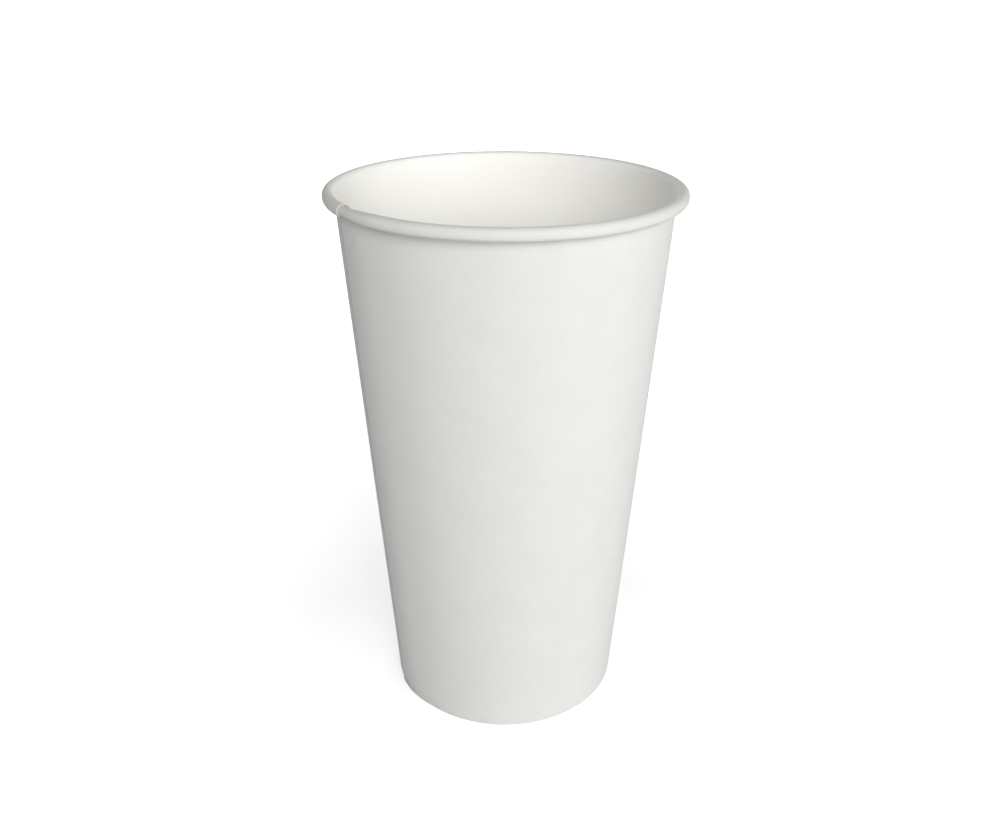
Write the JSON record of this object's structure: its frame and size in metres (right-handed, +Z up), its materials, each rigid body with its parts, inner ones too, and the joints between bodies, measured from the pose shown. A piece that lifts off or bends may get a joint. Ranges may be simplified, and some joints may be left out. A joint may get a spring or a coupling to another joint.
{
  "type": "paper coffee cup",
  "caption": "Tall tapered paper cup for hot drinks, with an outward rolled rim, a lapped side seam and a recessed bottom disc held in a folded hem.",
  "frame": {"origin": "centre of the foot, on the cup's axis in the plane that it stands on", "axes": "+Z up along the cup's axis, -Y towards the viewer of the picture"},
  "size_m": [0.09, 0.09, 0.14],
  "materials": {
    "side_board": "smooth coated white board, satin outside and slightly glossier inside",
    "bottom_board": "smooth coated white board, satin"
  },
  "bodies": {
    "root": {"side_wall": "side_board", "bottom_disc": "bottom_board"}
  },
  "joints": []
}
